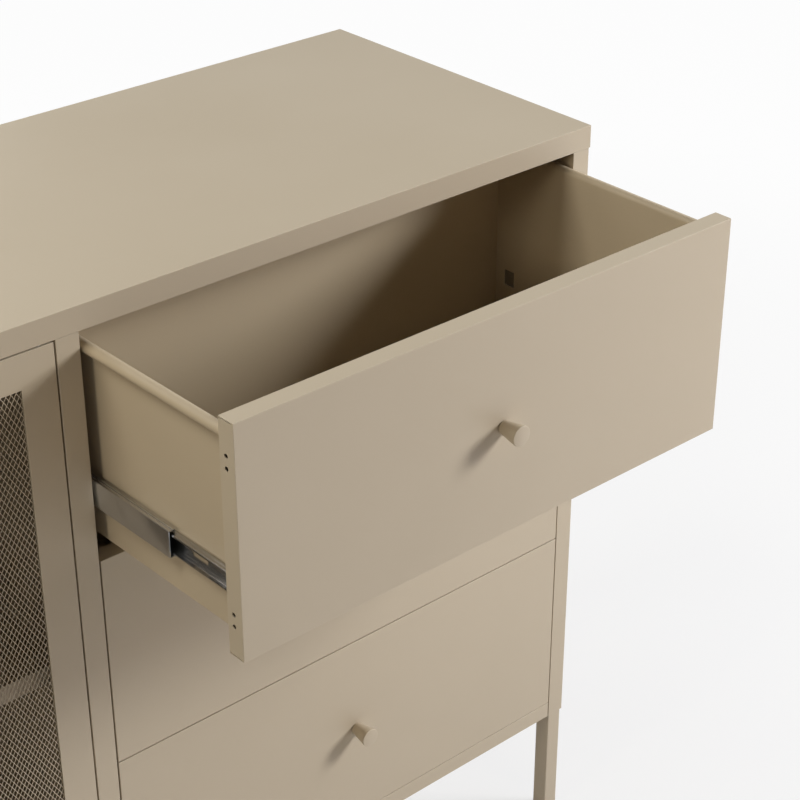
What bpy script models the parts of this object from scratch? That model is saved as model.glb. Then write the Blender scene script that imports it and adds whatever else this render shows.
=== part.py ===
"""Low storage cabinet in folded, powder-coated sheet steel, on four square legs.

The right bay holds three drawers on telescopic rails, the left bay a pair of mesh doors and a shelf.
Metres, +Z up, front towards -Y. The top drawer stands partly open, every other moving piece is shut.
"""

from math import cos, pi, radians, sin

import bmesh
import bpy
from mathutils import Matrix, Vector

for old in list(bpy.data.objects):
    bpy.data.objects.remove(old, do_unlink=True)

# Body
LID_WIDTH = 1.2832
LID_DEPTH = 0.400
BODY_HEIGHT = 0.748
LEG_CLEARANCE = 0.152
LID_LIP = 0.0242
LID_RETURN = 0.024
LID_OVERHANG = 0.002
LID_SHEET = 0.0012
SHEET = 0.001
SIDE_WIDTH = 0.0225
DIVIDER_WIDTH = 0.0237
BASE_LIP = 0.0196
BACK_FLANGE = 0.012
FOLD_RADIUS = 0.0005
FOLD_STEPS = 3

# Gaps and clearances
DIVIDER_GAP = 0.0018
SIDE_GAP = 0.0012
TOP_GAP = 0.0018
BASE_GAP = 0.0009
FRONT_SEAM = 0.0016
DOOR_SEAM = 0.0014
SEAT_GAP = 0.0003
RUN_GAP = 0.0005

# Legs and feet
LEG_FIT = 0.00025
LEG_WALL = 0.0015
LEG_CORNER = 0.0013
LEG_SOCKET = 0.060
FOOT_PAD = 0.003
FOOT_PLUG = 0.012

# Drawers
TOP_DRAWER_OPEN = 0.2123
FRONT_THICKNESS = 0.020
FRONT_FLANGE = 0.012
CORNER_SLIT = 0.0012
SLIT_START = 0.0025
SLIT_EDGE = 0.0002
SCREW_HOLE = 0.0048
SCREW_HOLE_PITCH = 0.0120
SCREW_HOLES_BELOW_TOP = 0.0403
SCREW_HOLES_ABOVE_BASE = 0.0377
SCREW_HOLE_DEPTH = 0.0113
BOX_DEPTH = 0.288
BOX_BELOW_TOP = 0.0125
BOX_ABOVE_BOTTOM = 0.017
SIDE_SPACE = 0.012
BEAD_RADIUS = 0.0045
BEAD_TURN = 225
BEAD_BLEND = 0.005
BEAD_STEPS = 12
FLOOR_FLANGE = 0.008
PORT_LENGTH = 0.0147
PORT_HEIGHT = 0.0180
PORT_FROM_BACK = 0.0140

# Telescopic rails
RAIL_SETBACK = 0.0013
RAIL_BACK_SPACE = 0.0020
RAIL_HEIGHT_OVER_FRONT = 0.0700
CARRIER_SHARE = 0.625
CARRIER_HEIGHT = 0.026
CARRIER_DEPTH = 0.0053
CARRIER_SPACE = 0.0020
CABINET_RAIL_DEPTH = 0.0067
FLANGE_SPACE = 0.0014
RAIL_RACE = 0.0033
RAIL_WEB = 0.001
RAIL_SLOT_START = 0.0368
RAIL_SLOT_LENGTH = 0.0215
RAIL_SLOT_HEIGHT = 0.0088

# Knobs
KNOB_LENGTH = 0.024
KNOB_BASE_RADIUS = 0.0066
KNOB_FACE_RADIUS = 0.0103
KNOB_RIM = 0.0022
KNOB_EDGE = 0.0006
KNOB_SHANK_RADIUS = 0.002
KNOB_SHANK = 0.008
KNOB_STEPS = 32
BOTTOM_KNOB_RISE = 0.0026
PIN_STEPS = 16

# Doors and shelf
DOOR_THICKNESS = 0.020
DOOR_STILE = 0.035
DOOR_RAIL = 0.034
DOOR_FLANGE = 0.012
NET_COLUMNS = 6
NET_ROWS = 10
NET_STRAND = 0.0030
NET_THICKNESS = 0.0012
NET_BORDER = 0.010
PIVOT_FROM_EDGE = 0.014
PIVOT_FROM_FACE = 0.005
PIN_RADIUS = 0.0025
PIN_COLLAR_RADIUS = 0.0036
PIN_REACH = 0.008
SHELF_DROP = 0.369
SHELF_SETBACK = 0.028
SHELF_LIP = 0.0195
SHELF_RAIL_LEG = 0.015
SHELF_RAIL_SHEET = 0.0015

# Levels and planes that follow from the dimensions
FRONT_Y = (TOP_DRAWER_OPEN + KNOB_LENGTH - LID_DEPTH) / 2
BACK_Y = FRONT_Y + LID_DEPTH
TOP_Z = LEG_CLEARANCE + BODY_HEIGHT
LIP_Z = TOP_Z - LID_LIP
BODY_Z = LEG_CLEARANCE
BASE_Z = BODY_Z + BASE_LIP
CASE_X = LID_WIDTH / 2 - LID_OVERHANG
CASE_BACK_Y = BACK_Y - LID_OVERHANG
BAY_WIDTH = (2 * CASE_X - 2 * SIDE_WIDTH - DIVIDER_WIDTH) / 2
BAY_X = (DIVIDER_WIDTH + BAY_WIDTH) / 2
FRONT_WIDTH = BAY_WIDTH - DIVIDER_GAP - SIDE_GAP
FRONT_SHIFT = (DIVIDER_GAP - SIDE_GAP) / 2
FACE_TOP_Z = LIP_Z - TOP_GAP
FACE_BASE_Z = BASE_Z + BASE_GAP
FRONT_HEIGHT = (FACE_TOP_Z - FACE_BASE_Z - 2 * FRONT_SEAM) / 3
DOOR_WIDTH = (FRONT_WIDTH - DOOR_SEAM) / 2
DOOR_HEIGHT = FACE_TOP_Z - FACE_BASE_Z
LEG_SIDE = SIDE_WIDTH - 2 * (SHEET + LEG_FIT)
RAIL_LENGTH = SEAT_GAP + BOX_DEPTH - RAIL_SETBACK - RAIL_BACK_SPACE
CARRIER_FACE = SEAT_GAP + RAIL_WEB + CARRIER_SPACE
DRAWER_RAIL_DEPTH = SIDE_SPACE - SEAT_GAP - CARRIER_FACE - RAIL_WEB - FLANGE_SPACE

# Sides of a piece's overall box, as (axis, end), where its sheet is cut and not folded
LEFT_RIGHT = {(0, 0), (0, 1)}
FRONT = {(1, 0)}
BELOW = {(2, 0)}
BELOW_ABOVE = {(2, 0), (2, 1)}


def material(name, colour, roughness, metallic):
    made = bpy.data.materials.new(name)
    made.use_nodes = True
    shader = made.node_tree.nodes["Principled BSDF"]
    shader.inputs["Base Color"].default_value = (*colour, 1)
    shader.inputs["Roughness"].default_value = roughness
    shader.inputs["Metallic"].default_value = metallic
    made.diffuse_color = (*colour, 1)
    return made


PAINT = material("taupe_powder_coat", (0.46, 0.40, 0.31), 0.45, 0.0)
STEEL = material("zinc_plated_steel", (0.36, 0.35, 0.32), 0.35, 1.0)
PLASTIC = material("dark_plastic", (0.06, 0.055, 0.05), 0.6, 0.0)


def place(name, bm, look, parent=None, location=(0, 0, 0), smooth=False):
    """Turns a bmesh into a named object, standing at location in its parent's frame."""
    mesh = bpy.data.meshes.new(name)
    bm.to_mesh(mesh)
    bm.free()
    mesh.materials.append(look)
    if smooth:
        mesh.shade_smooth()
        mesh.set_sharp_from_angle(angle=radians(35))
    made = bpy.data.objects.new(name, mesh)
    made.location = location
    made.parent = parent
    bpy.context.scene.collection.objects.link(made)
    return made


def empty(name, location):
    made = bpy.data.objects.new(name, None)
    made.empty_display_size = 0.03
    made.location = location
    bpy.context.scene.collection.objects.link(made)
    return made


def folded(adds, cuts=(), radius=0.0, raw=frozenset()):
    """A sheet piece as the union of boxes less other boxes, with its outer folds rounded."""
    levels = []
    for axis in range(3):
        levels.append(sorted({round(box[end][axis], 6) for box in (*adds, *cuts) for end in (0, 1)}))
    counts = [len(level) - 1 for level in levels]

    def holds(box, point):
        return all(low < value < high for low, value, high in zip(box[0], point, box[1]))

    def middle(cell):
        return [(levels[axis][cell[axis]] + levels[axis][cell[axis] + 1]) / 2 for axis in range(3)]

    filled = set()
    for i in range(counts[0]):
        for j in range(counts[1]):
            for k in range(counts[2]):
                point = middle((i, j, k))
                if any(holds(box, point) for box in adds) and not any(holds(box, point) for box in cuts):
                    filled.add((i, j, k))
    bm = bmesh.new()
    corners = {}

    def corner(key):
        if key not in corners:
            corners[key] = bm.verts.new([levels[axis][key[axis]] for axis in range(3)])
        return corners[key]

    for cell in filled:
        for axis in range(3):
            for step in (0, 1):
                beside = list(cell)
                beside[axis] += 2 * step - 1
                if tuple(beside) in filled:
                    continue
                base = list(cell)
                base[axis] += step
                u, v = (axis + 1) % 3, (axis + 2) % 3
                ring = []
                for du, dv in ((0, 0), (1, 0), (1, 1), (0, 1)):
                    key = list(base)
                    key[u] += du
                    key[v] += dv
                    ring.append(corner(tuple(key)))
                bm.faces.new(ring if step else ring[::-1])
    bmesh.ops.dissolve_limit(bm, angle_limit=radians(1), verts=bm.verts, edges=bm.edges)
    if radius:
        round_outside(bm, radius, raw)
    return bm


def round_outside(bm, radius, raw):
    """Rounds the edges that lie along the edges of the overall box, apart from those of its raw sides."""
    low = [min(v.co[axis] for v in bm.verts) for axis in range(3)]
    high = [max(v.co[axis] for v in bm.verts) for axis in range(3)]

    def sides(vert):
        near = set()
        for axis in range(3):
            for side, value in enumerate((low[axis], high[axis])):
                if abs(vert.co[axis] - value) < 1e-6:
                    near.add((axis, side))
        return near

    chosen = []
    for edge in bm.edges:
        shared = sides(edge.verts[0]) & sides(edge.verts[1])
        if len(shared) > 1 and not shared & raw:
            chosen.append(edge)
    bmesh.ops.bevel(bm, geom=chosen, offset=radius, segments=FOLD_STEPS, profile=0.5, affect="EDGES",
                    material=-1)


def box(x0, x1, y0, y1, z0, z1):
    return ((min(x0, x1), min(y0, y1), min(z0, z1)), (max(x0, x1), max(y0, y1), max(z0, z1)))


def turned(profile, axis, steps):
    """A solid of revolution from (radius, height) points, the first and last of them on the axis."""
    bm = bmesh.new()
    verts = [bm.verts.new((radius, 0, height)) for radius, height in profile]
    edges = [bm.edges.new(pair) for pair in zip(verts, verts[1:])]
    bmesh.ops.spin(bm, geom=verts + edges, cent=(0, 0, 0), axis=(0, 0, 1), angle=2 * pi,
                   steps=steps, use_merge=True)
    bmesh.ops.remove_doubles(bm, verts=bm.verts, dist=1e-6)
    bmesh.ops.recalc_face_normals(bm, faces=bm.faces)
    turn = Vector((0, 0, 1)).rotation_difference(Vector(axis)).to_matrix().to_4x4()
    bm.transform(turn)
    return bm


def add_rod(bm, radius, start, end):
    """Adds a plain round rod between two points, for cutting a hole."""
    start, end = Vector(start), Vector(end)
    along = end - start
    turn = Vector((0, 0, 1)).rotation_difference(along).to_matrix().to_4x4()
    bmesh.ops.create_cone(bm, cap_ends=True, segments=PIN_STEPS, radius1=radius, radius2=radius,
                          depth=along.length, matrix=Matrix.Translation((start + end) / 2) @ turn)


def cut(target, bm):
    """Cuts a bmesh, given in the target's own frame, out of the target."""
    mesh = bpy.data.meshes.new(target.name + "_cutter")
    bm.to_mesh(mesh)
    bm.free()
    cutter = bpy.data.objects.new(mesh.name, mesh)
    cutter.location = target.location
    cutter.parent = target.parent
    cutter.hide_render = True
    cutter.display_type = "WIRE"
    bpy.context.scene.collection.objects.link(cutter)
    modifier = target.modifiers.new("holes", "BOOLEAN")
    modifier.operation = "DIFFERENCE"
    modifier.object = cutter


def pan(width, depth, height, sheet, flange, extra_cuts=()):
    """A folded pan in the XZ plane: face at y = 0, rims running back to a flange, centred on x = 0."""
    half, tall = width / 2, height
    adds = [box(-half, half, 0, depth, 0, tall)]
    cuts = [
        box(-half + sheet, half - sheet, sheet, depth - sheet, sheet, tall - sheet),
        box(-half + flange, half - flange, depth - sheet, depth + sheet, flange, tall - flange),
    ]
    return folded(adds, (*cuts, *extra_cuts), FOLD_RADIUS)


def channel(x0, x1, y0, y1, z0, z1, web, race, open_side, extra_cuts=()):
    """A rail of C section along Y, with its web opposite the open side."""
    if open_side > 0:
        hollow = box(x0 + web, x1 + web, y0 - web, y1 + web, z0 + race, z1 - race)
    else:
        hollow = box(x0 - web, x1 - web, y0 - web, y1 + web, z0 + race, z1 - race)
    return folded([box(x0, x1, y0, y1, z0, z1)], (hollow, *extra_cuts))


def knob(name, parent, location):
    """A cone that widens towards its flat face, with a shank that runs back through the sheet."""
    rim = KNOB_LENGTH - KNOB_RIM
    profile = [
        (0, -KNOB_SHANK),
        (KNOB_SHANK_RADIUS, -KNOB_SHANK),
        (KNOB_SHANK_RADIUS, SEAT_GAP),
        (KNOB_BASE_RADIUS, SEAT_GAP),
        (KNOB_FACE_RADIUS, rim),
        (KNOB_FACE_RADIUS, KNOB_LENGTH - KNOB_EDGE),
        (KNOB_FACE_RADIUS - KNOB_EDGE, KNOB_LENGTH),
        (0, KNOB_LENGTH),
    ]
    return place(name, turned(profile, (0, -1, 0), KNOB_STEPS), PAINT, parent, location, smooth=True)


def build_body():
    """Lid, sides, divider, floor, back, legs and feet."""
    half, lip = LID_WIDTH / 2, LID_SHEET
    lid = place("top_panel", folded(
        [box(-half, half, FRONT_Y, BACK_Y, LIP_Z, TOP_Z)],
        [
            box(-half + lip, half - lip, FRONT_Y + lip, BACK_Y - lip, LIP_Z + lip, TOP_Z - lip),
            box(-half + LID_RETURN, half - LID_RETURN, FRONT_Y + LID_RETURN, BACK_Y - LID_RETURN,
                LIP_Z - lip, LIP_Z + lip),
        ],
        FOLD_RADIUS, BELOW,
    ), PAINT)
    top = LIP_Z - SEAT_GAP
    inner = CASE_X - SIDE_WIDTH
    for name, x0, x1 in (("left_side_panel", -CASE_X, -inner), ("right_side_panel", inner, CASE_X)):
        place(name, folded(
            [box(x0, x1, FRONT_Y, CASE_BACK_Y, BODY_Z, top)],
            [box(x0 + SHEET, x1 - SHEET, FRONT_Y + SHEET, CASE_BACK_Y - SHEET, BODY_Z - SHEET, top + SHEET)],
            FOLD_RADIUS, BELOW_ABOVE,
        ), PAINT)
    floor_x = inner - SIDE_GAP
    floor = place("bottom_panel", folded(
        [box(-floor_x, floor_x, FRONT_Y, CASE_BACK_Y, BODY_Z, BASE_Z)],
        [box(-floor_x + SHEET, floor_x - SHEET, FRONT_Y + SHEET, CASE_BACK_Y - SHEET,
             BODY_Z - SHEET, BASE_Z - SHEET)],
        FOLD_RADIUS, BELOW,
    ), PAINT)
    for piece, z in ((lid, LIP_Z), (floor, BASE_Z)):
        holes = bmesh.new()
        for hand in (-1, 1):
            x = door_pivot_x(hand)
            add_rod(holes, PIN_RADIUS + SEAT_GAP, (x, FRONT_Y + PIVOT_FROM_FACE, z - PIN_REACH),
                    (x, FRONT_Y + PIVOT_FROM_FACE, z + PIN_REACH))
        cut(piece, holes)
    seat = BASE_Z + SEAT_GAP
    wall = CASE_BACK_Y - BACK_FLANGE
    back_x = inner - SEAT_GAP
    place("divider", folded(
        [box(-DIVIDER_WIDTH / 2, DIVIDER_WIDTH / 2, FRONT_Y, wall - SEAT_GAP, seat, top)],
        [box(-DIVIDER_WIDTH / 2 + SHEET, DIVIDER_WIDTH / 2 - SHEET, FRONT_Y + SHEET,
             wall - SEAT_GAP - SHEET, seat - SHEET, top + SHEET)],
        FOLD_RADIUS, BELOW_ABOVE,
    ), PAINT)
    place("back_panel", folded(
        [box(-back_x, back_x, wall, CASE_BACK_Y, seat, top)],
        [box(-back_x + SHEET, back_x - SHEET, wall - SHEET, CASE_BACK_Y - SHEET,
             seat + SHEET, top - SHEET)],
        FOLD_RADIUS, FRONT,
    ), PAINT)
    build_legs()


def build_legs():
    inset = SHEET + LEG_FIT
    x = CASE_X - inset - LEG_SIDE / 2
    ends = (("front", FRONT_Y + inset + LEG_SIDE / 2), ("rear", CASE_BACK_Y - inset - LEG_SIDE / 2))
    half, hollow = LEG_SIDE / 2, LEG_SIDE / 2 - LEG_WALL
    foot = FOOT_PAD + SEAT_GAP
    top = BODY_Z + LEG_SOCKET
    plug = hollow - SEAT_GAP
    for end, y in ends:
        for hand, side in ((-1, "left"), (1, "right")):
            place(f"leg_{end}_{side}", folded(
                [box(-half, half, -half, half, foot, top)],
                [box(-hollow, hollow, -hollow, hollow, foot - SHEET, top + SHEET)],
                LEG_CORNER, BELOW_ABOVE,
            ), PAINT, location=(hand * x, y, 0))
            place(f"foot_cap_{end}_{side}", folded([
                box(-half, half, -half, half, 0, FOOT_PAD),
                box(-plug, plug, -plug, plug, 0, FOOT_PAD + FOOT_PLUG),
            ]), PLASTIC, location=(hand * x, y, 0))


def rails(level, drawer, carrier, hand, side, shut_y, height):
    """The three rails at one side of a drawer. Distances count from the bay's wall towards the drawer."""
    wall = BAY_X + hand * BAY_WIDTH / 2
    near, far = -hand, hand
    half = CARRIER_HEIGHT / 2
    outer_half = half + RUN_GAP + RAIL_RACE
    x0 = wall + near * SEAT_GAP
    x1 = x0 + near * CABINET_RAIL_DEPTH
    low, high = min(x0, x1), max(x0, x1)
    place(f"{level}_cabinet_rail_{side}", channel(
        low, high, shut_y, shut_y + RAIL_LENGTH, height - outer_half, height + outer_half,
        RAIL_WEB, RAIL_RACE, near), STEEL)
    x0 = wall + near * CARRIER_FACE - BAY_X
    x1 = x0 + near * CARRIER_DEPTH
    low, high = min(x0, x1), max(x0, x1)
    place(f"{level}_carrier_rail_{side}", channel(
        low, high, 0, RAIL_LENGTH, -half, half, RAIL_WEB, RAIL_RACE, near), STEEL, carrier)
    inner_half = half - RAIL_RACE - RUN_GAP
    x0 = wall + near * (SIDE_SPACE - SEAT_GAP) - BAY_X
    x1 = x0 + far * DRAWER_RAIL_DEPTH
    low, high = min(x0, x1), max(x0, x1)
    start = FRONT_THICKNESS + RAIL_SETBACK
    slot = box(low - RAIL_WEB, high + RAIL_WEB, start + RAIL_SLOT_START,
               start + RAIL_SLOT_START + RAIL_SLOT_LENGTH, -RAIL_SLOT_HEIGHT / 2, RAIL_SLOT_HEIGHT / 2)
    place(f"{level}_drawer_rail_{side}", channel(
        low, high, start, start + RAIL_LENGTH, -inner_half, inner_half, RAIL_WEB, RAIL_WEB, far, [slot]),
        STEEL, drawer)


def drawer_side(hand, z0, z1):
    """A side wall: a plain web with a round bead rolled outwards along its top."""
    inner = BAY_WIDTH / 2 - SIDE_SPACE - SHEET
    outer = inner + SHEET
    centre = inner + BEAD_RADIUS
    bead_z = z1 - BEAD_RADIUS
    points = [(outer, z0), (inner, z0)]
    for step in range(BEAD_STEPS + 1):
        angle = pi - radians(BEAD_TURN) * step / BEAD_STEPS
        points.append((centre + BEAD_RADIUS * cos(angle), bead_z + BEAD_RADIUS * sin(angle)))
    points.append((outer, points[-1][1] - BEAD_BLEND))
    bm = bmesh.new()
    start = FRONT_THICKNESS + SEAT_GAP
    ring = [bm.verts.new((hand * x, start, z)) for x, z in points]
    face = bm.faces.new(ring)
    grown = bmesh.ops.extrude_face_region(bm, geom=[face])
    moved = [item for item in grown["geom"] if isinstance(item, bmesh.types.BMVert)]
    bmesh.ops.translate(bm, verts=moved, vec=(0, BOX_DEPTH, 0))
    bmesh.ops.recalc_face_normals(bm, faces=bm.faces)
    return bm


def build_drawer(level, index, opening):
    """One drawer: its frame's origin is at the middle of the bay, on the front face and at rail height."""
    base = FACE_BASE_Z + index * (FRONT_HEIGHT + FRONT_SEAM)
    height = base + RAIL_HEIGHT_OVER_FRONT
    shut_y = FRONT_Y + FRONT_THICKNESS + RAIL_SETBACK
    drawer = empty(f"{level}_drawer", (BAY_X, FRONT_Y - opening, height))
    carrier = empty(f"{level}_carriers", (BAY_X, shut_y - CARRIER_SHARE * opening, height))
    bottom = -RAIL_HEIGHT_OVER_FRONT
    half = FRONT_WIDTH / 2
    slits = []
    edge = FOLD_RADIUS + SLIT_EDGE
    for z in (edge, FRONT_HEIGHT - edge - CORNER_SLIT):
        for x in (-half, half):
            slits.append(box(x - SHEET, x + SHEET, SLIT_START, FRONT_THICKNESS - edge, z, z + CORNER_SLIT))
    front = place(f"{level}_drawer_front",
                  pan(FRONT_WIDTH, FRONT_THICKNESS, FRONT_HEIGHT, SHEET, FRONT_FLANGE, slits),
                  PAINT, drawer, (FRONT_SHIFT, 0, bottom))
    holes = bmesh.new()
    for middle_z in (SCREW_HOLES_ABOVE_BASE, FRONT_HEIGHT - SCREW_HOLES_BELOW_TOP):
        for z in (middle_z - SCREW_HOLE_PITCH / 2, middle_z + SCREW_HOLE_PITCH / 2):
            add_rod(holes, SCREW_HOLE / 2, (-half - SHEET, SCREW_HOLE_DEPTH, z),
                    (half + SHEET, SCREW_HOLE_DEPTH, z))
    knob_z = FRONT_HEIGHT / 2
    if index == 0:
        knob_z += BOTTOM_KNOB_RISE
    add_rod(holes, KNOB_SHANK_RADIUS + SEAT_GAP, (0, -SHEET, knob_z), (0, 2 * SHEET, knob_z))
    cut(front, holes)
    knob(f"{level}_drawer_knob", drawer, (FRONT_SHIFT, 0, bottom + knob_z))

    z0 = bottom + BOX_ABOVE_BOTTOM
    z1 = bottom + FRONT_HEIGHT - BOX_BELOW_TOP
    back = FRONT_THICKNESS + SEAT_GAP + BOX_DEPTH
    for hand, side in ((-1, "left"), (1, "right")):
        wall = place(f"{level}_drawer_{side}_side", drawer_side(hand, z0, z1), PAINT, drawer, smooth=True)
        port = bmesh.new()
        x = hand * BAY_WIDTH / 2
        bmesh.ops.create_cube(port, size=1, matrix=Matrix.Translation(
            (x, back - PORT_FROM_BACK - PORT_LENGTH / 2, 0)) @ Matrix.Diagonal(
            (4 * SIDE_SPACE, PORT_LENGTH, PORT_HEIGHT, 1)))
        cut(wall, port)
        rails(level, drawer, carrier, hand, side, shut_y, height)
    reach = BAY_WIDTH / 2 - SIDE_SPACE - SHEET - SEAT_GAP
    start = FRONT_THICKNESS + SEAT_GAP
    floor = z0 + FLOOR_FLANGE
    rim = z1 - BEAD_RADIUS
    place(f"{level}_drawer_tray", folded([
        box(-reach, reach, start, back, floor - SHEET, floor),
        box(-reach, -reach + SHEET, start, back, z0, floor),
        box(reach - SHEET, reach, start, back, z0, floor),
        box(-reach, reach, start, start + SHEET, floor - SHEET, rim),
        box(-reach, reach, back - SHEET, back, floor - SHEET, rim),
    ]), PAINT, drawer)


def door_pivot_x(hand):
    """Pivot line of the left door (-1), beside the left side panel, or the right one, beside the divider."""
    gap = DIVIDER_GAP if hand > 0 else SIDE_GAP
    return -BAY_X + hand * (BAY_WIDTH / 2 - gap - PIVOT_FROM_EDGE)


def net(width, height):
    """A flat diamond net in the XZ plane, whole cells across a window, inside a plain border."""
    cell_x, cell_z = width / NET_COLUMNS, height / NET_ROWS
    count = NET_COLUMNS + NET_ROWS
    bm = bmesh.new()
    bmesh.ops.create_grid(bm, x_segments=count, y_segments=count, size=count / 2)
    for vert in bm.verts:
        across, up = vert.co.x - vert.co.y, vert.co.x + vert.co.y
        vert.co = ((across + (NET_COLUMNS % 2)) * cell_x / 2, 0, (up + (NET_ROWS % 2)) * cell_z / 2)
    for axis, reach in ((0, width / 2), (2, height / 2)):
        for hand in (-1, 1):
            normal = Vector((0, 0, 0))
            normal[axis] = hand
            everything = [*bm.verts, *bm.edges, *bm.faces]
            bmesh.ops.bisect_plane(bm, geom=everything, dist=1e-6, plane_co=normal * reach, plane_no=normal,
                                   clear_outer=True)
    gaps = list(bm.faces)
    bmesh.ops.inset_individual(bm, faces=gaps, thickness=NET_STRAND / 2, use_even_offset=True)
    bmesh.ops.delete(bm, geom=gaps, context="FACES")

    def outside(vert):
        return abs(abs(vert.co.x) - width / 2) < 1e-5, abs(abs(vert.co.z) - height / 2) < 1e-5

    def on_rim(edge):
        first, second = outside(edge.verts[0]), outside(edge.verts[1])
        return (first[0] and second[0]) or (first[1] and second[1])

    rim = [edge for edge in bm.edges if edge.is_boundary and on_rim(edge)]
    grown = bmesh.ops.extrude_edge_only(bm, edges=rim)
    for vert in [item for item in grown["geom"] if isinstance(item, bmesh.types.BMVert)]:
        at_side, at_end = outside(vert)
        if at_side:
            vert.co.x += NET_BORDER if vert.co.x > 0 else -NET_BORDER
        if at_end:
            vert.co.z += NET_BORDER if vert.co.z > 0 else -NET_BORDER
    bmesh.ops.dissolve_limit(bm, angle_limit=radians(1), verts=bm.verts,
                             edges=[edge for edge in bm.edges if edge.is_boundary])
    bmesh.ops.recalc_face_normals(bm, faces=bm.faces)
    grown = bmesh.ops.extrude_face_region(bm, geom=list(bm.faces), use_keep_orig=True)
    moved = [item for item in grown["geom"] if isinstance(item, bmesh.types.BMVert)]
    bmesh.ops.translate(bm, verts=moved, vec=(0, NET_THICKNESS, 0))
    bmesh.ops.recalc_face_normals(bm, faces=bm.faces)
    return bm


def pin(name, parent, location, gap, hand):
    """A pivot pin with a collar that fills the gap between the door and the sheet it turns in."""
    collar = gap - 2 * SEAT_GAP
    profile = [
        (0, -PIN_REACH),
        (PIN_RADIUS, -PIN_REACH),
        (PIN_RADIUS, SEAT_GAP),
        (PIN_COLLAR_RADIUS, SEAT_GAP),
        (PIN_COLLAR_RADIUS, SEAT_GAP + collar),
        (PIN_RADIUS, SEAT_GAP + collar),
        (PIN_RADIUS, gap + PIN_REACH / 2),
        (0, gap + PIN_REACH / 2),
    ]
    place(name, turned(profile, (0, 0, hand), PIN_STEPS), STEEL, parent, location, smooth=True)


def build_door(side, hand):
    """A mesh door. Its frame's origin is on the pivot line, at the door's lower edge."""
    pivot = empty(f"{side}_door", (door_pivot_x(hand), FRONT_Y + PIVOT_FROM_FACE, FACE_BASE_Z))
    middle = -hand * (DOOR_WIDTH / 2 - PIVOT_FROM_EDGE)
    corner = (middle, -PIVOT_FROM_FACE, 0)
    window_x, window_z = DOOR_WIDTH / 2 - DOOR_STILE, DOOR_HEIGHT - DOOR_RAIL
    window = box(-window_x, window_x, -SHEET, 2 * SHEET, DOOR_RAIL, window_z)
    frame = place(f"{side}_door_frame",
                  pan(DOOR_WIDTH, DOOR_THICKNESS, DOOR_HEIGHT, SHEET, DOOR_FLANGE, [window]),
                  PAINT, pivot, corner)
    grip = -hand * (DOOR_WIDTH - DOOR_STILE) / 2
    holes = bmesh.new()
    add_rod(holes, PIN_RADIUS + SEAT_GAP, (-middle, PIVOT_FROM_FACE, -PIN_REACH),
            (-middle, PIVOT_FROM_FACE, DOOR_HEIGHT + PIN_REACH))
    add_rod(holes, KNOB_SHANK_RADIUS + SEAT_GAP, (grip, -SHEET, DOOR_HEIGHT / 2),
            (grip, 2 * SHEET, DOOR_HEIGHT / 2))
    cut(frame, holes)
    place(f"{side}_door_mesh", net(2 * window_x, window_z - DOOR_RAIL), PAINT, pivot,
          (middle, -PIVOT_FROM_FACE + SHEET + SEAT_GAP, DOOR_HEIGHT / 2))
    knob(f"{side}_door_knob", pivot, (middle + grip, -PIVOT_FROM_FACE, DOOR_HEIGHT / 2))
    pin(f"{side}_door_upper_pin", pivot, (0, 0, DOOR_HEIGHT), TOP_GAP, 1)
    pin(f"{side}_door_lower_pin", pivot, (0, 0, 0), BASE_GAP, -1)


def build_shelf():
    top = TOP_Z - SHELF_DROP
    reach = BAY_WIDTH / 2 - SEAT_GAP
    front = FRONT_Y + SHELF_SETBACK
    back = CASE_BACK_Y - BACK_FLANGE - SEAT_GAP
    place("shelf", folded(
        [box(-BAY_X - reach, -BAY_X + reach, front, back, top - SHELF_LIP, top)],
        [box(-BAY_X - BAY_WIDTH, -BAY_X + BAY_WIDTH, front + SHEET, back - SHEET,
             top - 2 * SHELF_LIP, top - SHEET)],
        FOLD_RADIUS, LEFT_RIGHT | BELOW,
    ), PAINT)
    seat = top - SHEET - SEAT_GAP
    start, end = front + SHEET + SEAT_GAP, back - SHEET - SEAT_GAP
    for hand, side in ((-1, "left"), (1, "right")):
        wall = -BAY_X + hand * (BAY_WIDTH / 2 - SEAT_GAP)
        place(f"shelf_rail_{side}", folded([
            box(wall, wall - hand * SHELF_RAIL_SHEET, start, end, seat - SHELF_RAIL_LEG, seat),
            box(wall, wall - hand * SHELF_RAIL_LEG, start, end, seat - SHELF_RAIL_SHEET, seat),
        ]), PAINT)


build_body()
build_shelf()
build_drawer("bottom", 0, 0)
build_drawer("middle", 1, 0)
build_drawer("top", 2, TOP_DRAWER_OPEN)
build_door("left", -1)
build_door("right", 1)
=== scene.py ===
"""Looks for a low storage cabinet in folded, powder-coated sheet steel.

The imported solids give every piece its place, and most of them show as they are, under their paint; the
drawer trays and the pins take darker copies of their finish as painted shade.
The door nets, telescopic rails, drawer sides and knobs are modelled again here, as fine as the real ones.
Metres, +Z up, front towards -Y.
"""

from math import ceil, cos, floor, pi, radians, sin

import bmesh
import bpy
from mathutils import Matrix, Vector


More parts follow.
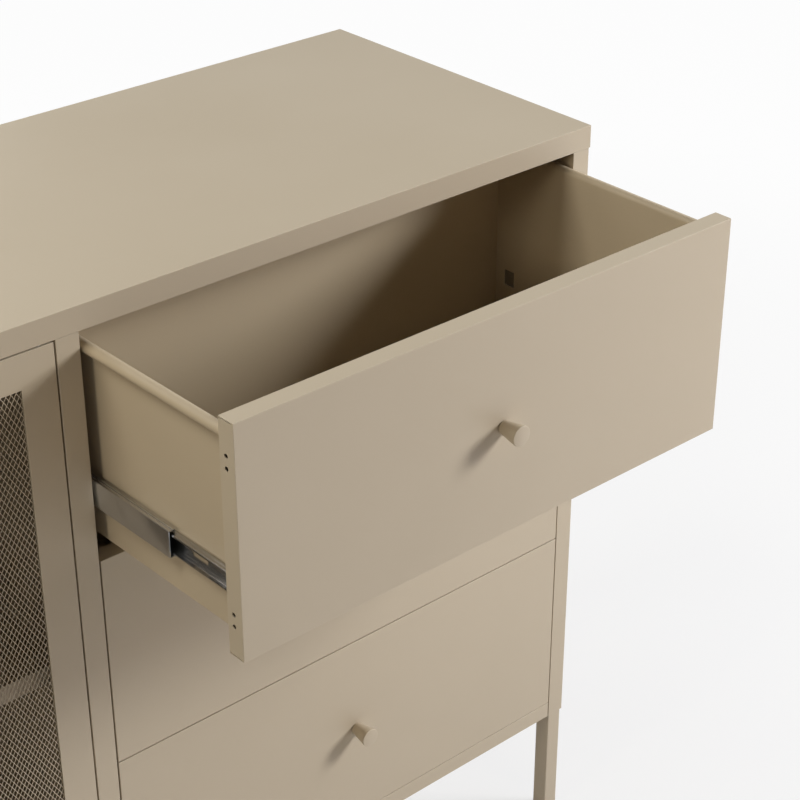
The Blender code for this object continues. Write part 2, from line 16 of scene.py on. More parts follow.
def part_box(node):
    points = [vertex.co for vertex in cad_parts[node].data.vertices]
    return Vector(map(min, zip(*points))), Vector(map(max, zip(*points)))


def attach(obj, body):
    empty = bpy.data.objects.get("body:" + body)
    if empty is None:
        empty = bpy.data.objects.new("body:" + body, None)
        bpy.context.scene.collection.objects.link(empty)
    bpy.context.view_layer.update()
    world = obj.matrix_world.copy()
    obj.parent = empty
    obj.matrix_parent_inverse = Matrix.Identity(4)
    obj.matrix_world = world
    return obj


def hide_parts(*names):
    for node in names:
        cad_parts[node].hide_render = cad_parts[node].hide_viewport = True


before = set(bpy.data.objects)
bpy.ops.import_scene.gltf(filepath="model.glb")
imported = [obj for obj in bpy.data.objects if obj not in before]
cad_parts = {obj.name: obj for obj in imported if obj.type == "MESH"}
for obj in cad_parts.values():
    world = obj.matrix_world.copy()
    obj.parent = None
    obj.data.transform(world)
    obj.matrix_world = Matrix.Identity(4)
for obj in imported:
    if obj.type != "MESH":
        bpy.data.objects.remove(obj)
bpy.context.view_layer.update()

LEVELS = ("bottom", "middle", "top")
SIDES = ((-1, "left"), (1, "right"))

# Points closer than MERGE are one point, and points closer than TOUCH to a line lie on it
MERGE = 1e-6
TOUCH = 1e-5

# Edges that turn by fewer degrees than this shade smooth
CREASE = 28

# Steps round a fold or an eased edge
ROUND_STEPS = 3

# Drawer sides: the bead curled along the top, and the port as (from the back end, length, height)
SHEET = 0.001
BEAD_RADIUS = 0.0045
BEAD_DROP = 0.0004
BEAD_TURN = 225
BEAD_STEPS = 30
BEAD_TAIL = 0.0042
BEAD_TAIL_GAP = 0.0003
PORT = (0.0140, 0.0147, 0.0180)

# Door nets: a cell's width and height, and one crossing of strands on the right door as (x, z)
NET_CELL = (0.005115, 0.008594)
NET_STRAND = 0.0006
NET_SHEET = 0.0006
NET_CROSSING = (-0.048404, 0.597761)
DOOR_STILE = 0.035
DOOR_RAIL = 0.034

# Rails: the slot in the rail on the drawer as (from the front end, length, height)
RAIL_SHEET = 0.001
RAIL_FOLD = 0.00045
RAIL_SLOT = (0.0368, 0.0215, 0.0088)

# Upper halves of the rails' sections, as depth from the back of the web and height from the middle
CABINET_SECTION = [
    (0.0067, 0.0147), (0.0067, 0.0168), (0.0046, 0.0168), (0.0041, 0.0161),
    (0.0032, 0.0161), (0.0027, 0.0168), (0.0, 0.0168),
]
CARRIER_SECTION = [
    (0.0053, 0.0109), (0.0053, 0.0130), (0.0037, 0.0130), (0.0033, 0.0123),
    (0.0026, 0.0123), (0.0022, 0.0130), (0.0, 0.0130),
]
DRAWER_SECTION = [
    (0.0060, 0.0083), (0.0060, 0.0092), (0.0034, 0.0092), (0.0030, 0.0088),
    (0.0026, 0.0092), (0.0, 0.0092),
]

# Knobs
KNOB_LENGTH = 0.024
KNOB_BASE_RADIUS = 0.0066
KNOB_FACE_RADIUS = 0.0103
KNOB_RIM = 0.0022
KNOB_EASE = 0.0006
KNOB_SEAT = 0.0003
KNOB_SHANK = 0.008
KNOB_SHANK_RADIUS = 0.002
KNOB_STEPS = 72


def srgb(red, green, blue):
    """An 8-bit screen colour as the linear one that a shader takes."""
    linear = []
    for part in (red, green, blue):
        part = part / 255
        linear.append(part / 12.92 if part <= 0.04045 else ((part + 0.055) / 1.055) ** 2.4)
    return (*linear, 1)


# Shader groups

def new_group(name, inputs, outputs):
    """An empty group with named sockets, and the sockets to wire up inside it."""
    tree = bpy.data.node_groups.new(name, "ShaderNodeTree")
    for label, kind, value in inputs:
        socket = tree.interface.new_socket(label, in_out="INPUT", socket_type=kind)
        if value is not None:
            socket.default_value = value
    for label, kind in outputs:
        tree.interface.new_socket(label, in_out="OUTPUT", socket_type=kind)
    return tree, tree.nodes.new("NodeGroupInput").outputs, tree.nodes.new("NodeGroupOutput").inputs


def add(tree, kind, links=None, **values):
    """A node with its settings, and with its inputs linked or set by name or number."""
    node = tree.nodes.new(kind)
    for name, value in values.items():
        setattr(node, name, value)
    for name, value in (links or {}).items():
        socket = node.inputs[name]
        if isinstance(value, bpy.types.NodeSocket):
            tree.links.new(value, socket)
        else:
            socket.default_value = value
    return node


def worked_out(tree, operation, first, second=0.0, third=0.0):
    """One step of arithmetic between values."""
    return add(tree, "ShaderNodeMath", {0: first, 1: second, 2: third}, operation=operation).outputs[0]


def powder_grain_group():
    """The pebbled skin of a baked powder coat: two sizes of pebble, and fine flecks of pigment."""
    tree, given, out = new_group("powder_grain", [
        ("Place", "NodeSocketVector", None),
        ("Pebbles per metre", "NodeSocketFloat", 700.0),
    ], [("Height", "NodeSocketFloat"), ("Fleck", "NodeSocketFloat")])
    place, density = given["Place"], given["Pebbles per metre"]
    wide_density = worked_out(tree, "MULTIPLY", density, 0.3)
    fleck_density = worked_out(tree, "MULTIPLY", density, 2.6)
    small = add(tree, "ShaderNodeTexNoise", {"Vector": place, "Scale": density, "Detail": 1.0})
    wide = add(tree, "ShaderNodeTexNoise", {"Vector": place, "Scale": wide_density, "Detail": 1.0})
    fleck = add(tree, "ShaderNodeTexNoise", {"Vector": place, "Scale": fleck_density, "Detail": 0.0})
    height = worked_out(tree, "MULTIPLY_ADD", small.outputs["Fac"], 0.45, wide.outputs["Fac"])
    tree.links.new(height, out["Height"])
    tree.links.new(fleck.outputs["Fac"], out["Fleck"])
    return tree


def edge_wear_and_highlight_group():
    """Sharp folds and cut edges, broken up a little. Steel is rubbed bright there; on the powder coat the
    lighter tone is partly thin paint and partly a painted highlight along the folds.
    """
    tree, given, out = new_group("edge_wear_and_highlight", [
        ("Place", "NodeSocketVector", None),
        ("Reach", "NodeSocketFloat", 0.0008),
        ("Breaks per metre", "NodeSocketFloat", 60.0),
    ], [("Edge", "NodeSocketFloat")])
    bent = add(tree, "ShaderNodeBevel", {"Radius": given["Reach"]}, samples=4)
    true = add(tree, "ShaderNodeNewGeometry")
    turn = add(tree, "ShaderNodeVectorMath", {0: bent.outputs["Normal"], 1: true.outputs["True Normal"]},
               operation="DOT_PRODUCT")
    edge = add(tree, "ShaderNodeMapRange", {
        "Value": turn.outputs["Value"], "From Min": 0.995, "From Max": 0.80, "To Min": 0.0, "To Max": 1.0})
    breaks = add(tree, "ShaderNodeTexNoise", {
        "Vector": given["Place"], "Scale": given["Breaks per metre"], "Detail": 3.0})
    kept = add(tree, "ShaderNodeMapRange", {
        "Value": breaks.outputs["Fac"], "From Min": 0.30, "From Max": 0.62, "To Min": 0.55, "To Max": 1.0})
    tree.links.new(worked_out(tree, "MULTIPLY", edge.outputs[0], kept.outputs[0]), out["Edge"])
    return tree


def slow_drift_group():
    """Soft clouds across a whole panel: coat thickness, handling, the sheet's own flatness."""
    tree, given, out = new_group("slow_drift", [
        ("Place", "NodeSocketVector", None),
        ("Clouds per metre", "NodeSocketFloat", 4.0),
    ], [("Drift", "NodeSocketFloat")])
    clouds = add(tree, "ShaderNodeTexNoise", {
        "Vector": given["Place"], "Scale": given["Clouds per metre"], "Detail": 3.0, "Roughness": 0.55})
    spread = add(tree, "ShaderNodeMapRange", {
        "Value": clouds.outputs["Fac"], "From Min": 0.30, "From Max": 0.70, "To Min": 0.0, "To Max": 1.0})
    tree.links.new(spread.outputs[0], out["Drift"])
    return tree


def draw_line_group():
    """The fine lines that drawing and rolling leave along a steel rail, which runs front to back."""
    tree, given, out = new_group("draw_lines", [
        ("Place", "NodeSocketVector", None),
        ("Lines per metre", "NodeSocketFloat", 5200.0),
    ], [("Line", "NodeSocketFloat")])
    along = add(tree, "ShaderNodeMapping", {"Vector": given["Place"], "Scale": (1.0, 0.006, 1.0)})
    lines = add(tree, "ShaderNodeTexNoise", {
        "Vector": along.outputs[0], "Scale": given["Lines per metre"], "Detail": 2.0})
    tree.links.new(lines.outputs["Fac"], out["Line"])
    return tree


POWDER_GRAIN = powder_grain_group()
EDGE_WEAR_AND_HIGHLIGHT = edge_wear_and_highlight_group()
SLOW_DRIFT = slow_drift_group()
DRAW_LINES = draw_line_group()


# Materials

def new_material(name):
    """A material with its tree, its shader and the place on the object that patterns follow."""
    material = bpy.data.materials.new(name)
    material.use_nodes = True
    tree = material.node_tree
    tree.nodes.clear()
    skin = tree.nodes.new("ShaderNodeBsdfPrincipled")
    output = tree.nodes.new("ShaderNodeOutputMaterial")
    tree.links.new(skin.outputs[0], output.inputs["Surface"])
    place = tree.nodes.new("ShaderNodeTexCoord").outputs["Object"]
    return material, tree, skin, place


def grouped(tree, group, place, **values):
    """A group set into a material with its own values, and what it puts out."""
    node = add(tree, "ShaderNodeGroup", node_tree=group)
    tree.links.new(place, node.inputs["Place"])
    for label, value in values.items():
        node.inputs[label.replace("_", " ")].default_value = value
    return node.outputs


def blended(tree, share, first, second):
    """Two colours mixed by a mask. A Mix node's colours go by number: 6 and 7 in, 2 out."""
    return add(tree, "ShaderNodeMix", {0: share, 6: first, 7: second}, data_type="RGBA").outputs[2]


def ranged(tree, value, low, high):
    """A mask from 0 to 1 spread between two values."""
    return add(tree, "ShaderNodeMapRange", {"Value": value, "To Min": low, "To Max": high}).outputs[0]


def raise_skin(tree, skin, height, strength, distance):
    """Fine relief over a whole surface."""
    bump = add(tree, "ShaderNodeBump", {"Height": height, "Strength": strength, "Distance": distance})
    tree.links.new(bump.outputs[0], skin.inputs["Normal"])


def powder_coat(name, thin, plain, thick, edge, rough=(0.40, 0.47), pebbles=620.0, relief=0.16):
    """Satin powder coat: it drifts between a thin and a thick tone, and is lighter over folds, partly as
    thin paint and partly as a painted highlight.
    """
    material, tree, skin, place = new_material(name)
    grain = grouped(tree, POWDER_GRAIN, place, Pebbles_per_metre=pebbles)
    drift = grouped(tree, SLOW_DRIFT, place, Clouds_per_metre=3.2)["Drift"]
    fold = grouped(tree, EDGE_WEAR_AND_HIGHLIGHT, place, Reach=0.0009, Breaks_per_metre=45.0)["Edge"]
    fleck_share = worked_out(tree, "MULTIPLY", grain["Fleck"], 0.35)
    # The lighter edge tone over folds is partly thin paint and partly a painted highlight
    fold_wear_and_highlight_share = worked_out(tree, "MULTIPLY", fold, 0.70)
    flecked = blended(tree, fleck_share, blended(tree, drift, thin, thick), plain)
    tree.links.new(blended(tree, fold_wear_and_highlight_share, flecked, edge), skin.inputs["Base Color"])
    satin = ranged(tree, drift, *rough)
    glossier_fold = worked_out(tree, "MULTIPLY_ADD", fold, -0.12, satin)
    tree.links.new(glossier_fold, skin.inputs["Roughness"])
    skin.inputs["Specular IOR Level"].default_value = 0.3
    raise_skin(tree, skin, grain["Height"], strength=relief, distance=0.00012)
    return material


def rolled_steel(name, dark, light, edge, rough):
    """Zinc-plated strip steel: drawn lines along its length, a cloudy bloom, bright cut edges."""
    material, tree, skin, place = new_material(name)
    lines = grouped(tree, DRAW_LINES, place)["Line"]
    bloom = grouped(tree, SLOW_DRIFT, place, Clouds_per_metre=9.0)["Drift"]
    cut = grouped(tree, EDGE_WEAR_AND_HIGHLIGHT, place, Reach=0.0004, Breaks_per_metre=160.0)["Edge"]
    bloom_share = worked_out(tree, "MULTIPLY", bloom, 0.6)
    light_share = worked_out(tree, "MULTIPLY_ADD", lines, 0.4, bloom_share)
    cut_share = worked_out(tree, "MULTIPLY", cut, 0.6)
    body = blended(tree, light_share, dark, light)
    tree.links.new(blended(tree, cut_share, body, edge), skin.inputs["Base Color"])
    tree.links.new(ranged(tree, bloom, *rough), skin.inputs["Roughness"])
    skin.inputs["Metallic"].default_value = 1.0
    raise_skin(tree, skin, lines, strength=0.02, distance=0.00003)
    return material


def moulded_plastic(name, dark, light):
    """Black polyethylene with a fine spark-eroded grain, greyer where it is scuffed."""
    material, tree, skin, place = new_material(name)
    grain = grouped(tree, POWDER_GRAIN, place, Pebbles_per_metre=1700.0)
    scuff = grouped(tree, EDGE_WEAR_AND_HIGHLIGHT, place, Reach=0.0006, Breaks_per_metre=240.0)["Edge"]
    cloud = grouped(tree, SLOW_DRIFT, place, Clouds_per_metre=60.0)["Drift"]
    cloud_share = worked_out(tree, "MULTIPLY", cloud, 0.3)
    grey_share = worked_out(tree, "MULTIPLY_ADD", scuff, 0.6, cloud_share)
    tree.links.new(blended(tree, grey_share, dark, light), skin.inputs["Base Color"])
    tree.links.new(ranged(tree, grain["Fleck"], 0.48, 0.62), skin.inputs["Roughness"])
    raise_skin(tree, skin, grain["Height"], strength=0.3, distance=0.0001)
    return material


# Each coat's edge tone is lighter than the coat: partly thin paint on the folds, partly a painted
# highlight along them
TAUPE = powder_coat(
    "taupe_powder_coat_satin", thin=srgb(187, 174, 152), plain=srgb(190, 177, 156),
    thick=srgb(183, 170, 148), edge=srgb(208, 197, 179))
# A darker, warmer copy of the coat for the drawer boxes: painted shade for the warm bounced light inside
# the drawers
SHADED_BOX_TAUPE = powder_coat(
    "taupe_powder_coat_drawer_box", thin=srgb(185, 170, 145), plain=srgb(188, 173, 149),
    thick=srgb(181, 166, 141), edge=srgb(206, 193, 171))
NET_TAUPE = powder_coat(
    "taupe_powder_coat_net", thin=srgb(185, 172, 150), plain=srgb(189, 176, 155),
    thick=srgb(180, 167, 145), edge=srgb(194, 181, 160), rough=(0.42, 0.50), pebbles=900.0, relief=0.10)
RAIL_STEEL = rolled_steel(
    "zinc_plated_rail_steel", dark=(0.58, 0.59, 0.60, 1), light=(0.67, 0.68, 0.69, 1),
    edge=(0.82, 0.82, 0.81, 1), rough=(0.21, 0.25))
# A darker copy of the rail steel for the rails on the drawers: painted shade, darker than the same steel
# on the other rails
SHADED_INNER_RAIL_STEEL = rolled_steel(
    "darkened_inner_rail_steel_painted_shade", dark=(0.42, 0.42, 0.42, 1), light=(0.50, 0.50, 0.50, 1),
    edge=(0.70, 0.70, 0.69, 1), rough=(0.19, 0.23))
# The pins' steel is far darker than zinc plate: painted shade, so the pins read dark in the gaps they sit
# in
DARKENED_PIN_STEEL = rolled_steel(
    "zinc_plated_pin_steel_painted_shade", dark=(0.20, 0.195, 0.19, 1), light=(0.28, 0.275, 0.265, 1),
    edge=(0.40, 0.39, 0.38, 1), rough=(0.42, 0.52))
FOOT_PLASTIC = moulded_plastic(
    "black_foot_plastic", dark=(0.012, 0.012, 0.013, 1), light=(0.055, 0.054, 0.052, 1))


# Pieces

def piece(name, bm, material, body, slot, *replaced):
    """A finished mesh as an object that rides on a body, smooth across every edge but its creases."""
    for face in bm.faces:
        face.smooth = True
    for edge in bm.edges:
        edge.smooth = edge.calc_face_angle(pi) < radians(CREASE)
    mesh = bpy.data.meshes.new(name)
    bm.to_mesh(mesh)
    bm.free()
    mesh.materials.append(material)
    made = bpy.data.objects.new(name, mesh)
    bpy.context.scene.collection.objects.link(made)
    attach(made, body)
    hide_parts(*replaced)


def chain(bm, points):
    """Points joined one to the next by edges."""
    verts = [bm.verts.new(point) for point in points]
    return [bm.edges.new(pair) for pair in zip(verts, verts[1:])]


def picked(geom, kind):
    """The corners or the faces among what an operator gives back."""
    return [item for item in geom if isinstance(item, kind)]


def rounded(bm, edges, radius):
    """Edges rounded off in a few steps."""
    bmesh.ops.bevel(bm, geom=edges, offset=radius, offset_type="OFFSET", segments=ROUND_STEPS, profile=0.5,
                    affect="EDGES", material=-1, clamp_overlap=True)


def strip(outline, start, end):
    """An open strip of sheet: an outline of (x, z) points drawn out from start to end along Y."""
    bm = bmesh.new()
    edges = chain(bm, [(x, start, z) for x, z in outline])
    drawn = bmesh.ops.extrude_edge_only(bm, edges=edges)["geom"]
    bmesh.ops.translate(bm, verts=picked(drawn, bmesh.types.BMVert), vec=(0, end - start, 0))
    return bm


def open_window(bm, y0, y1, z0, z1):
    """A rectangular opening in the strip's widest face, which stands upright."""
    web = max(bm.faces, key=lambda face: face.calc_area())
    for spot, outwards in (((0, y0, 0), (0, -1, 0)), ((0, y1, 0), (0, 1, 0)),
                           ((0, 0, z0), (0, 0, -1)), ((0, 0, z1), (0, 0, 1))):
        cut = bmesh.ops.bisect_plane(bm, geom=[web, *web.edges, *web.verts], dist=MERGE,
                                     plane_co=spot, plane_no=outwards)["geom"]
        web = min(picked(cut, bmesh.types.BMFace),
                  key=lambda face: (face.calc_center_median() - Vector(spot)).dot(Vector(outwards)))
    bmesh.ops.delete(bm, geom=[web], context="FACES")


def thickened(bm, thickness):
    """An open sheet made a solid one, to the side that the thickness's sign says."""
    bmesh.ops.solidify(bm, geom=bm.faces[:], thickness=thickness)
    bmesh.ops.recalc_face_normals(bm, faces=bm.faces[:])
    return bm


def rolled_rail(node, body, back, section, steel, window=None):
    """A rail rolled from strip, the back of its web facing left (-1) or right (1), with a slot or none."""
    lo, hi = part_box(node)
    web_x = lo.x if back < 0 else hi.x
    middle = (lo.z + hi.z) / 2
    whole_section = [(depth, -height) for depth, height in section] + section[::-1]
    bm = strip([(web_x - back * depth, middle + height) for depth, height in whole_section], lo.y, hi.y)
    rounded(bm, [edge for edge in bm.edges if not edge.is_boundary], RAIL_FOLD)
    if window:
        from_front, length, height = window
        slot_y = lo.y + from_front
        open_window(bm, slot_y, slot_y + length, middle - height / 2, middle + height / 2)
    piece(f"{node}_rolled", thickened(bm, -back * RAIL_SHEET), steel, body, "zinc_plated_steel", node)


def telescopic_rails(level):
    """Three rails on each side of a drawer: on the cabinet, in between, and on the drawer itself."""
    for hand, side in SIDES:
        rolled_rail(f"{level}_cabinet_rail_{side}", "carcass", hand, CABINET_SECTION, RAIL_STEEL)
        rolled_rail(f"{level}_carrier_rail_{side}", f"{level}_carriers", hand, CARRIER_SECTION, RAIL_STEEL)
        # The rails on the drawer take the darker copy of the steel, which is painted shade
        rolled_rail(f"{level}_drawer_rail_{side}", f"{level}_drawer", -hand, DRAWER_SECTION,
                    SHADED_INNER_RAIL_STEEL, window=RAIL_SLOT)


def drawer_side(level, hand, side):
    """A side wall with its upper edge curled outwards into a bead, and the port near its back end."""
    node = f"{level}_drawer_{side}_side"
    lo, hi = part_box(node)
    inner = lo.x if hand > 0 else hi.x
    bead_x = inner + hand * BEAD_RADIUS
    bead_z = hi.z - BEAD_DROP - BEAD_RADIUS
    outline = [(inner, lo.z)]
    for step in range(BEAD_STEPS + 1):
        angle = pi - radians(BEAD_TURN) * step / BEAD_STEPS
        outline.append((bead_x + hand * BEAD_RADIUS * cos(angle), bead_z + BEAD_RADIUS * sin(angle)))
    outline.append((inner + hand * (2 * SHEET + BEAD_TAIL_GAP), outline[-1][1] - BEAD_TAIL))
    bm = strip(outline, lo.y, hi.y)
    from_back, length, height = PORT
    port_y = hi.y - from_back - length
    rail_lo, rail_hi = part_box(f"{level}_drawer_rail_{side}")
    middle = (rail_lo.z + rail_hi.z) / 2
    open_window(bm, port_y, port_y + length, middle - height / 2, middle + height / 2)
    # The side takes the darker, warmer drawer-box copy of the coat, which is painted shade
    piece(f"{node}_beaded", thickened(bm, hand * SHEET), SHADED_BOX_TAUPE, f"{level}_drawer",
          "taupe_powder_coat", node)


def knob(node, body):
    """A turned knob that flares from a narrow base to a flat round face, its edges eased."""
    lo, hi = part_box(node)
    x, z = (lo.x + hi.x) / 2, (lo.z + hi.z) / 2
    base_y = lo.y + KNOB_LENGTH - KNOB_SEAT
    end_y = lo.y + KNOB_LENGTH + KNOB_SHANK
    corners = [(KNOB_FACE_RADIUS, lo.y), (KNOB_FACE_RADIUS, lo.y + KNOB_RIM), (KNOB_BASE_RADIUS, base_y)]
    shank = [(KNOB_SHANK_RADIUS, base_y), (KNOB_SHANK_RADIUS, end_y), (0, end_y)]
    bm = bmesh.new()
    chain(bm, [(x + radius, y, z) for radius, y in [(0, lo.y), *corners, *shank]])
    bmesh.ops.spin(bm, geom=[*bm.verts, *bm.edges], cent=(x, 0, z), axis=(0, 1, 0), angle=2 * pi,
                   steps=KNOB_STEPS, use_merge=True, use_duplicate=False)
    bmesh.ops.remove_doubles(bm, verts=bm.verts[:], dist=MERGE)
    bmesh.ops.recalc_face_normals(bm, faces=bm.faces[:])

    def at_corner(vert, radius, y):
        from_axis = (vert.co - Vector((x, vert.co.y, z))).length
        return abs(from_axis - radius) < TOUCH and abs(vert.co.y - y) < TOUCH

    eased = [edge for edge in bm.edges
             if any(all(at_corner(vert, *corner) for vert in edge.verts) for corner in corners)]
    rounded(bm, eased, KNOB_EASE)
    piece(f"{node}_turned", bm, TAUPE, body, "taupe_powder_coat", node)


def lattice_line(crossing, pitch, limit, way):
    """The first line of crossings at or past a limit, going up (1) or down (-1)."""
    steps = (limit - crossing) / (pitch / 2)
    return crossing + (ceil(steps) if way > 0 else floor(steps)) * pitch / 2


def door_net(side, crossing_x):
    """A sheet pierced with diamonds, plain round its border where the door frame covers it."""
    node = f"{side}_door_mesh"
    lo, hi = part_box(node)
    frame_lo, frame_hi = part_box(f"{side}_door_frame")
    across, up = NET_CELL
    crossing_z = NET_CROSSING[1]
    x0 = lattice_line(crossing_x, across, frame_lo.x + DOOR_STILE, -1)
    x1 = lattice_line(crossing_x, across, frame_hi.x - DOOR_STILE, 1)
    z0 = lattice_line(crossing_z, up, frame_lo.z + DOOR_RAIL, -1)
    z1 = lattice_line(crossing_z, up, frame_hi.z - DOOR_RAIL, 1)

    # A square grid, turned and squeezed into diamonds and cut along lines of crossings
    count = 2 * ceil(((x1 - x0) / across + (z1 - z0) / up) / 2 + 1)
    middle_x = lattice_line(crossing_x, 2 * across, (x0 + x1) / 2, 1)
    middle_z = lattice_line(crossing_z, 2 * up, (z0 + z1) / 2, 1)
    bm = bmesh.new()
    bmesh.ops.create_grid(bm, x_segments=count, y_segments=count, size=count / 2)
    bmesh.ops.transform(bm, verts=bm.verts[:], matrix=Matrix((
        (across / 2, -across / 2, 0, middle_x),
        (0, 0, 1, lo.y),
        (up / 2, up / 2, 0, middle_z),
        (0, 0, 0, 1),
    )))
    for spot, outwards in (((x0, 0, 0), (-1, 0, 0)), ((x1, 0, 0), (1, 0, 0)),
                           ((0, 0, z0), (0, 0, -1)), ((0, 0, z1), (0, 0, 1))):
        bmesh.ops.bisect_plane(bm, geom=[*bm.verts, *bm.edges, *bm.faces], dist=MERGE,
                               plane_co=spot, plane_no=outwards, clear_outer=True)
    gaps = bm.faces[:]
    bmesh.ops.inset_individual(bm, faces=gaps, thickness=NET_STRAND / 2, use_even_offset=True)
    bmesh.ops.delete(bm, geom=gaps, context="FACES")

    # The plain border, drawn out from the cut lines to the sheet's own edges
    def reached(vert):
        return (abs(vert.co.x - x0) < TOUCH, abs(vert.co.x - x1) < TOUCH,
                abs(vert.co.z - z0) < TOUCH, abs(vert.co.z - z1) < TOUCH)

    rim = [edge for edge in bm.edges if edge.is_boundary
           and any(map(all, zip(reached(edge.verts[0]), reached(edge.verts[1]))))]
    border = bmesh.ops.extrude_edge_only(bm, edges=rim)["geom"]
    for vert in picked(border, bmesh.types.BMVert):
        left, right, below, above = reached(vert)
        vert.co.x = lo.x if left else hi.x if right else vert.co.x
        vert.co.z = lo.z if below else hi.z if above else vert.co.z
    bmesh.ops.recalc_face_normals(bm, faces=bm.faces[:])
    if sum(face.normal.y for face in bm.faces) > 0:
        bmesh.ops.reverse_faces(bm, faces=bm.faces[:])
    bmesh.ops.solidify(bm, geom=bm.faces[:], thickness=NET_SHEET)
    piece(f"{side}_door_net", bm, NET_TAUPE, f"{side}_door", "taupe_powder_coat", node)


for level in LEVELS:
    telescopic_rails(level)
    for hand, side in SIDES:
        drawer_side(level, hand, side)
    knob(f"{level}_drawer_knob", f"{level}_drawer")
for _, side in SIDES:
    knob(f"{side}_door_knob", f"{side}_door")
doors_middle = (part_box("left_door_frame")[1].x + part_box("right_door_frame")[0].x) / 2
door_net("right", NET_CROSSING[0])
door_net("left", 2 * doors_middle - NET_CROSSING[0])

# The solids that show as they are, each under its own finish, with the trays in the drawer boxes' darker,
# warmer copy of the coat, which is painted shade
# Plated solids such as the pins take the darkened pin steel, which is painted shade
FINISHES = {"taupe_powder_coat": TAUPE, "zinc_plated_steel": DARKENED_PIN_STEEL, "dark_plastic": FOOT_PLASTIC}
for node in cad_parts.values():
    for slot in node.material_slots:
        slot.material = FINISHES[slot.material.name.split(".")[0]]
for level in LEVELS:
    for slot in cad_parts[f"{level}_drawer_tray"].material_slots:
        slot.material = SHADED_BOX_TAUPE


# Studio

# Floor: its wash is the share of plain white that shows, near the cabinet and far off
FLOOR_TONE = 0.80
FLOOR_HALF_WIDTH = 9
FLOOR_SQUARES = 8
FLOOR_MIDDLE = (0.2, 0.1, 0.0)
FLOOR_WASH = (0.70, 0.97)
FLOOR_WASH_REACH = (0.5, 2.6)

# Lamps: degrees round from the front towards the right, degrees up, distance, size, watts and colour
LAMP_AIM = Vector((0.25, -0.15, 0.75))
LAMPS = [
    ("key_lamp", 57, 21, 3.2, 0.8, 92, (0.985, 0.99, 1.0)),
    ("front_lamp", 45, 10, 2.2, 0.8, 7, (0.8, 0.8, 1.0)),
    ("right_lamp", 80, 33, 2.6, 0.9, 7, (0.95, 0.97, 1.0)),
    ("low_lamp", -5, 10, 3.0, 1.5, 7.0, (1.0, 0.75, 0.54)),
    ("left_lamp", -84, 14, 2.6, 0.3, 9.5, (1.0, 0.90, 0.74)),
    ("high_left_lamp", -106, 54, 2.6, 0.9, 33, (1.0, 0.975, 0.90)),
    ("rear_lamp", -150, 38, 3.0, 1.2, 12, (1.0, 0.97, 0.91)),
    ("back_lamp", 170, 10, 3.0, 1.2, 12, (1.0, 0.97, 0.93)),
]

# Camera: lens and sensor in millimetres, turns in degrees, fitted to the straight edges of the photograph
CAMERA_LENS = 92.166
CAMERA_SENSOR = 36
CAMERA_SHIFT = (-0.04595, 0.06362)
CAMERA_REACH = 60
CAMERA_PLACE = (-0.82124, -1.43283, 1.67381)
CAMERA_TURNS = (59.62223, -0.49687, -42.50547)


def seen_rays(tree):
    """1 for rays from the camera and from mirrors and glass, 0 for the light that falls on things."""
    path = tree.nodes.new("ShaderNodeLightPath").outputs
    shiny = worked_out(tree, "MAXIMUM", path["Is Glossy Ray"], path["Is Transmission Ray"])
    return worked_out(tree, "MAXIMUM", path["Is Camera Ray"], shiny)


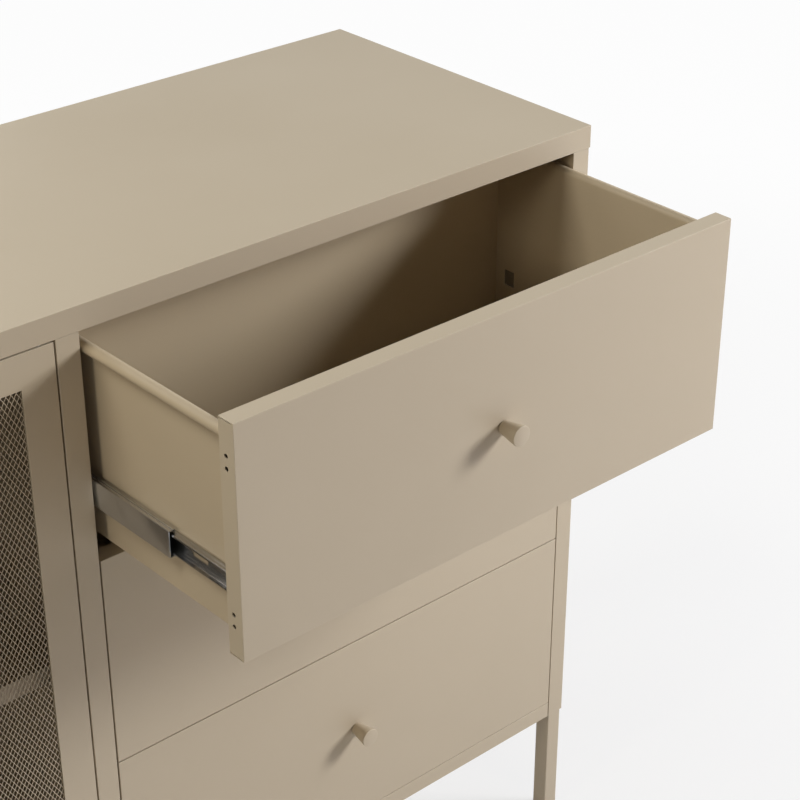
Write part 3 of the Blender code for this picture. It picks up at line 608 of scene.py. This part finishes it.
def studio_floor():
    """A pale floor that keeps the shadow near the cabinet and fades to white further off."""
    bm = bmesh.new()
    bmesh.ops.create_grid(bm, x_segments=FLOOR_SQUARES, y_segments=FLOOR_SQUARES, size=FLOOR_HALF_WIDTH)
    mesh = bpy.data.meshes.new("studio_floor")
    bm.to_mesh(mesh)
    bm.free()
    ground = bpy.data.objects.new("studio_floor", mesh)
    bpy.context.scene.collection.objects.link(ground)
    material = bpy.data.materials.new("studio_floor_white")
    material.use_nodes = True
    tree = material.node_tree
    tree.nodes.clear()
    matt = add(tree, "ShaderNodeBsdfDiffuse", {"Color": (FLOOR_TONE, FLOOR_TONE, FLOOR_TONE, 1)})
    white = add(tree, "ShaderNodeEmission", {"Strength": 1.0})
    place = tree.nodes.new("ShaderNodeTexCoord").outputs["Object"]
    away = add(tree, "ShaderNodeVectorMath", {0: place, 1: FLOOR_MIDDLE}, operation="DISTANCE")
    wash = add(tree, "ShaderNodeMapRange", {
        "Value": away.outputs["Value"], "From Min": FLOOR_WASH_REACH[0], "From Max": FLOOR_WASH_REACH[1],
        "To Min": FLOOR_WASH[0], "To Max": FLOOR_WASH[1]}, interpolation_type="SMOOTHSTEP")
    share = worked_out(tree, "MULTIPLY", wash.outputs[0], seen_rays(tree))
    both = add(tree, "ShaderNodeMixShader", {0: share, 1: matt.outputs[0], 2: white.outputs[0]})
    output = tree.nodes.new("ShaderNodeOutputMaterial")
    tree.links.new(both.outputs[0], output.inputs["Surface"])
    mesh.materials.append(material)


def studio_world():
    """A white surround that is seen and mirrored, and lights nothing."""
    world = bpy.data.worlds.new("studio_world")
    bpy.context.scene.world = world
    world.use_nodes = True
    tree = world.node_tree
    tree.nodes.clear()
    sky = add(tree, "ShaderNodeBackground", {"Color": (1, 1, 1, 1), "Strength": seen_rays(tree)})
    output = tree.nodes.new("ShaderNodeOutputWorld")
    tree.links.new(sky.outputs[0], output.inputs["Surface"])


def studio_lamps():
    """Square lamps round the cabinet, all turned to one point, and not seen themselves."""
    for name, round_from_front, up, distance, size, watts, colour in LAMPS:
        turn, rise = radians(round_from_front), radians(up)
        towards = Vector((sin(turn) * cos(rise), -cos(turn) * cos(rise), sin(rise)))
        lamp = bpy.data.lights.new(name, "AREA")
        lamp.shape = "SQUARE"
        lamp.size = size
        lamp.energy = watts
        lamp.color = colour
        holder = bpy.data.objects.new(name, lamp)
        holder.location = LAMP_AIM + distance * towards
        holder.rotation_euler = towards.to_track_quat("Z", "Y").to_euler()
        holder.visible_camera = False
        bpy.context.scene.collection.objects.link(holder)


def studio_camera():
    """The photograph's own view."""
    lens = bpy.data.cameras.new("camera")
    lens.lens = CAMERA_LENS
    lens.sensor_width = CAMERA_SENSOR
    lens.shift_x, lens.shift_y = CAMERA_SHIFT
    lens.clip_end = CAMERA_REACH
    holder = bpy.data.objects.new("camera", lens)
    holder.location = CAMERA_PLACE
    holder.rotation_euler = [radians(turn) for turn in CAMERA_TURNS]
    bpy.context.scene.collection.objects.link(holder)
    bpy.context.scene.camera = holder


studio_floor()
studio_world()
studio_lamps()
studio_camera()
bpy.context.scene.view_settings.view_transform = "Standard"
